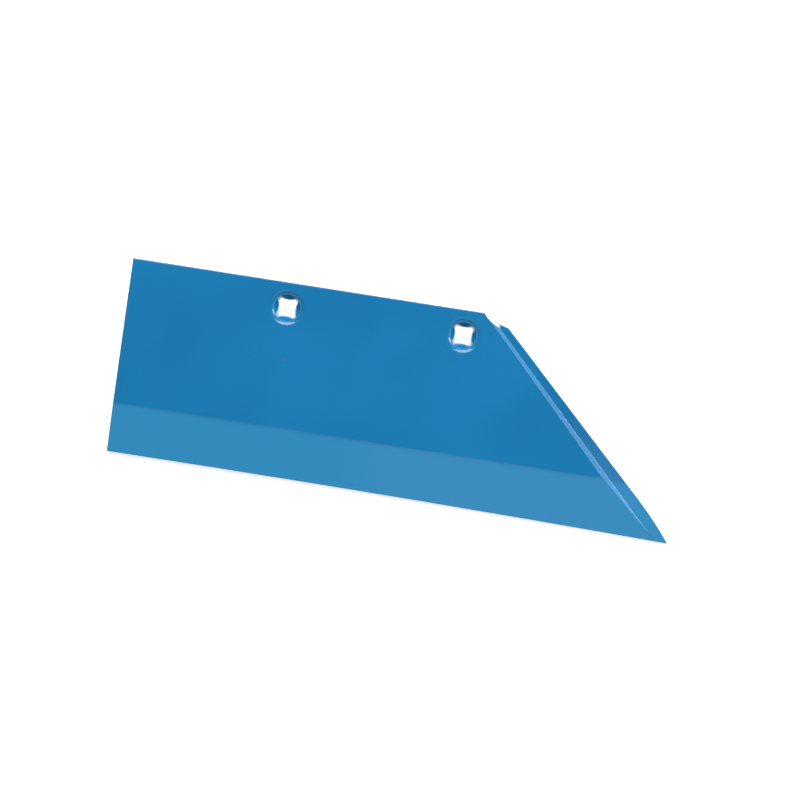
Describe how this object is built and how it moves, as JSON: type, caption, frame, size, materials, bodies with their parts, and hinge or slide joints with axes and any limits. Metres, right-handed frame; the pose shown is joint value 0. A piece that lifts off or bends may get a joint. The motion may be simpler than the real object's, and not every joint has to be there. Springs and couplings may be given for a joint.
{
  "type": "plough share",
  "caption": "One-piece right-hand plough share: slanted steel blade with bevelled cutting edge, stepped land edge with gunnel flange, and square countersunk bolt holes.",
  "frame": {"origin": "axis of the wing-side square bolt hole, on the flat back face that seats on the plough frog", "axes": "+X along the bolt row towards the point, +Y up the blade away from the cutting edge, +Z out of the front face that meets the soil"},
  "size_m": [0.449, 0.1568, 0.024],
  "materials": {
    "blue_paint": "glossy smooth blue paint"
  },
  "bodies": {
    "root": {"plough_share": "blue_paint"}
  },
  "joints": []
}
